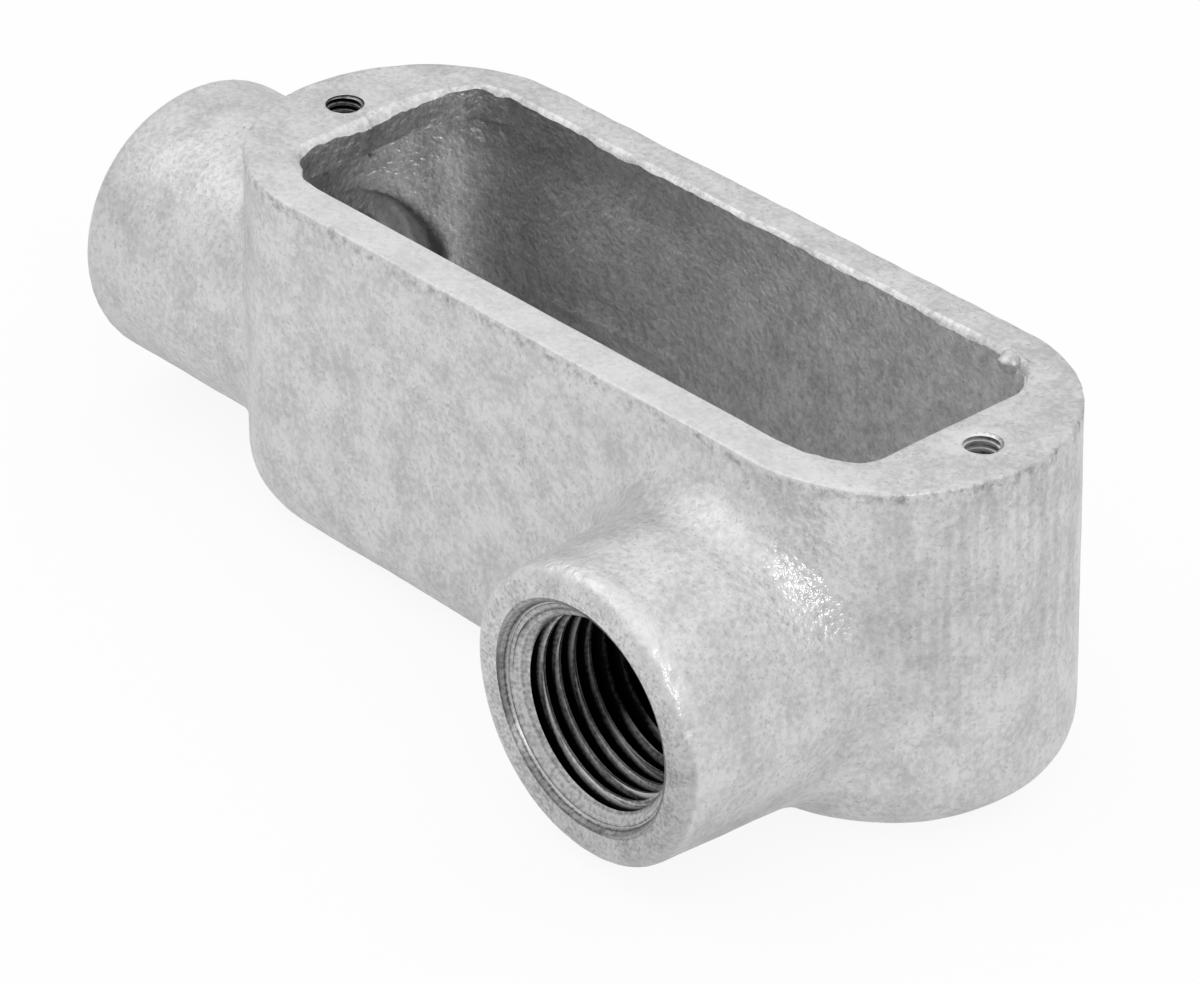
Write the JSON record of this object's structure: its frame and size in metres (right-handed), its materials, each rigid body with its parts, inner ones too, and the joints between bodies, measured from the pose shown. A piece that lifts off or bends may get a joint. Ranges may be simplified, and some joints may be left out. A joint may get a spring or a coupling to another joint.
{
  "type": "conduit body",
  "caption": "Cast iron conduit body with a tapped hub at one end, a tapped hub on the left side and an open wiring chamber under a screwed cover seat.",
  "frame": {"origin": "middle of the flat base that lies against the wall", "axes": "+X along the body away from the end hub, -Y out of the side hub, +Z out of the cover opening"},
  "size_m": [0.12, 0.0529, 0.0382],
  "materials": {
    "galvanised_iron": "hot-dip galvanised over an as-cast surface"
  },
  "bodies": {
    "root": {"conduit_body": "galvanised_iron"}
  },
  "joints": []
}
